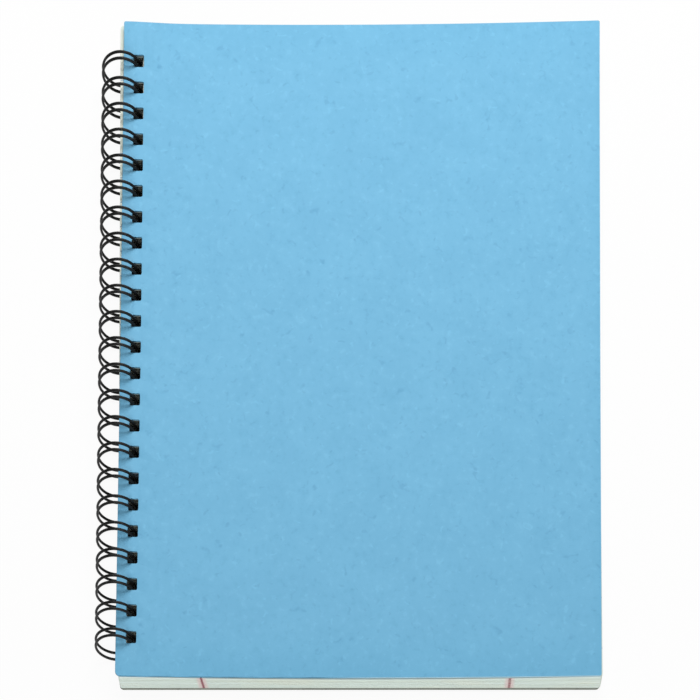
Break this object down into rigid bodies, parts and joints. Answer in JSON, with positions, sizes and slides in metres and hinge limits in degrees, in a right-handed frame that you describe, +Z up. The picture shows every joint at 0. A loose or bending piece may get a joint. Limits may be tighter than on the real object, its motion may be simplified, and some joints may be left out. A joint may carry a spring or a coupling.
{
  "type": "spiral notebook",
  "caption": "A5 notebook: blue card front cover, paper block and grey board back held along the spine by black double wire loops; the covers swing open.",
  "frame": {"origin": "under the middle of the whole book, on the surface it lies on", "axes": "+X from the spine to the fore-edge, +Y from the tail to the head, +Z up through the front cover; the book rests on its wire loops and on the fore-edge of its back cover, so its sheets slope down by 1.08 degrees towards +X"},
  "size_m": [0.1551, 0.211, 0.0129],
  "materials": {
    "blue_card": "matt sky-blue card with fine paper fibres",
    "paper": "matt off-white writing paper, ruled, with a red margin line",
    "grey_board": "matt olive-grey pulp board",
    "black_wire": "satin black plastic-coated steel wire"
  },
  "bodies": {
    "binding": {"wire_binding": "black_wire", "page_block": "paper"},
    "front_cover": {"front_cover": "blue_card"},
    "back_cover": {"back_cover": "grey_board"}
  },
  "joints": [
    {"name": "front_cover_hinge", "type": "hinge", "parent": "binding", "child": "front_cover", "pos_m": [-0.07107, 0, 0.0065], "axis": [0, -1, 0], "range_deg": [0, 180]},
    {"name": "back_cover_hinge", "type": "hinge", "parent": "binding", "child": "back_cover", "pos_m": [-0.07107, 0, 0.0065], "axis": [0, 1, 0], "range_deg": [0, 180]}
  ]
}
